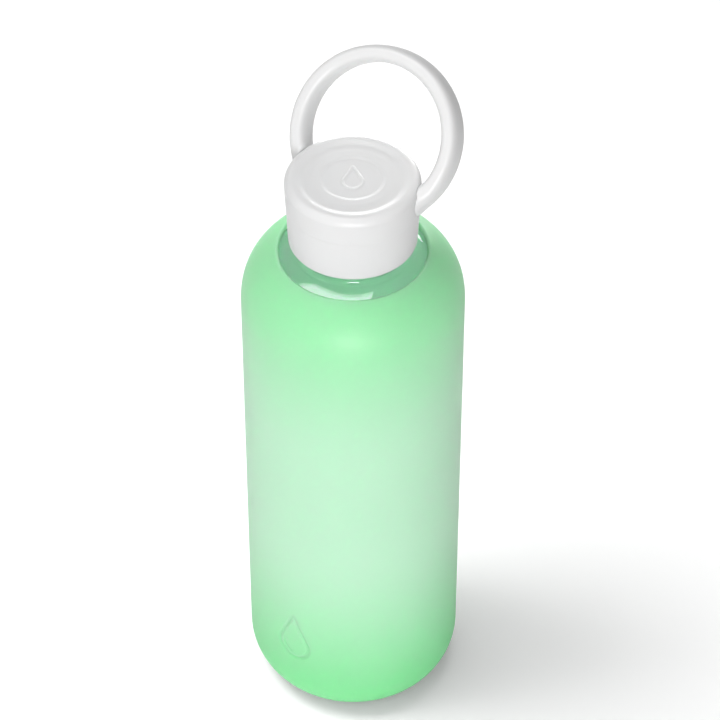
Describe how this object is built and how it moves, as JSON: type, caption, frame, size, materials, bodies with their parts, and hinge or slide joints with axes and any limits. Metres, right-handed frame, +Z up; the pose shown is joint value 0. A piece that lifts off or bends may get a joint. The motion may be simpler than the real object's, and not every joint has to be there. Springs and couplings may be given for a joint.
{
  "type": "glass water bottle",
  "caption": "Slim glass water bottle in a frosted silicone sleeve, with a screw cap that unscrews on its thread and a slanted carry loop.",
  "frame": {"origin": "centre of the flat base, on the surface that the bottle stands on", "axes": "+Z up along the bottle's axis; X across the carry loop; +Y the way the loop leans"},
  "size_m": [0.089, 0.0896, 0.3074],
  "materials": {
    "sleeve_silicone": "frosted translucent silicone",
    "bottle_glass": "clear polished",
    "cap_plastic": "fine satin",
    "liner_plastic": "satin",
    "seal_silicone": "soft matte"
  },
  "bodies": {
    "bottle": {"silicone_sleeve": "sleeve_silicone", "glass_bottle": "bottle_glass"},
    "seal": {"cap_gasket": "seal_silicone"},
    "cap": {"cap_shell": "cap_plastic", "cap_liner": "liner_plastic", "carry_loop": "cap_plastic"}
  },
  "joints": [
    {"name": "cap_lift", "type": "slide", "parent": "bottle", "child": "seal", "axis": [0, 0, 1], "range_m": [0, 0.0285]},
    {"name": "cap_turn", "type": "hinge", "parent": "seal", "child": "cap", "pos_m": [0, 0, 0.255], "axis": [0, 0, 1], "range_deg": [0, 1260]}
  ],
  "couplings": [
    {"joint": "cap_lift", "follows": "cap_turn", "m_per_rad": 0.0012732}
  ]
}
